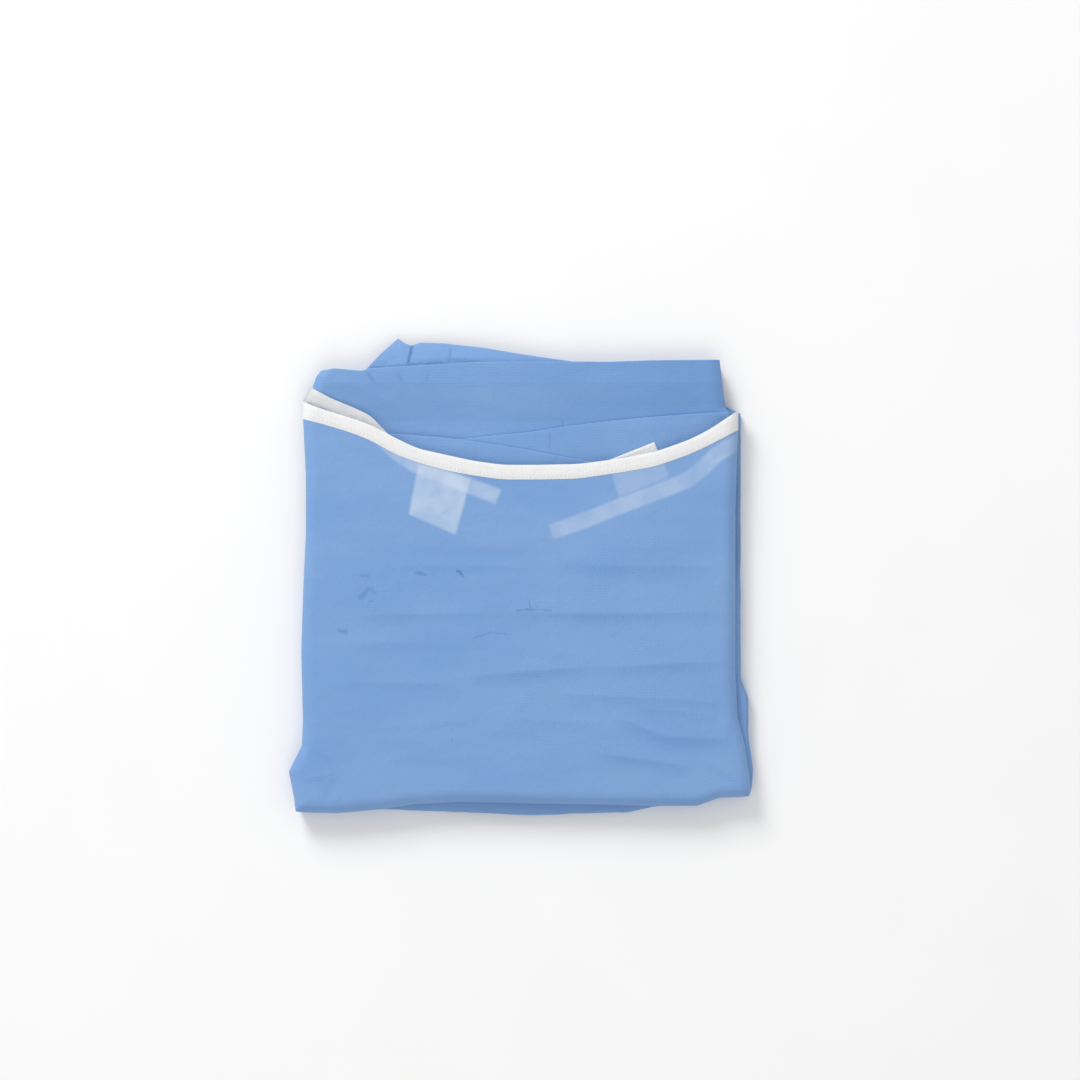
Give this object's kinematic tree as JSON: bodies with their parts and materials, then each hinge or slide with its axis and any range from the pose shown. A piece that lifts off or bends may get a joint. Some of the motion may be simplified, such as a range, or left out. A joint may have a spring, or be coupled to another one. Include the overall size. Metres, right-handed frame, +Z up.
{
  "type": "folded disposable gown",
  "caption": "Back-opening nonwoven isolation gown folded flat into a square bundle, chest and bound neckline on top, with crossed sleeves and back neck tapes inside.",
  "frame": {"origin": "middle of the bounding box, on the surface that the bundle rests on", "axes": "+Z up through the thickness of the bundle, +Y from the bottom fold towards the neck, +X to the right as the chest is seen from above"},
  "size_m": [0.2822, 0.29, 0.0191],
  "materials": {
    "cloth": "thin bonded nonwoven, pale blue, soft sheen",
    "binding": "white knitted binding, matt",
    "tape": "white hook and loop tape, matt"
  },
  "bodies": {
    "root": {"front": "cloth", "back_left": "cloth", "back_right": "cloth", "sleeve_left": "cloth", "sleeve_right": "cloth", "skirt_fold": "cloth", "skirt_corner": "cloth", "folded_layers": "cloth", "neck_binding_front": "binding", "neck_binding_left": "binding", "neck_binding_right": "binding", "hook_tape": "tape", "loop_tape": "tape"}
  },
  "joints": []
}
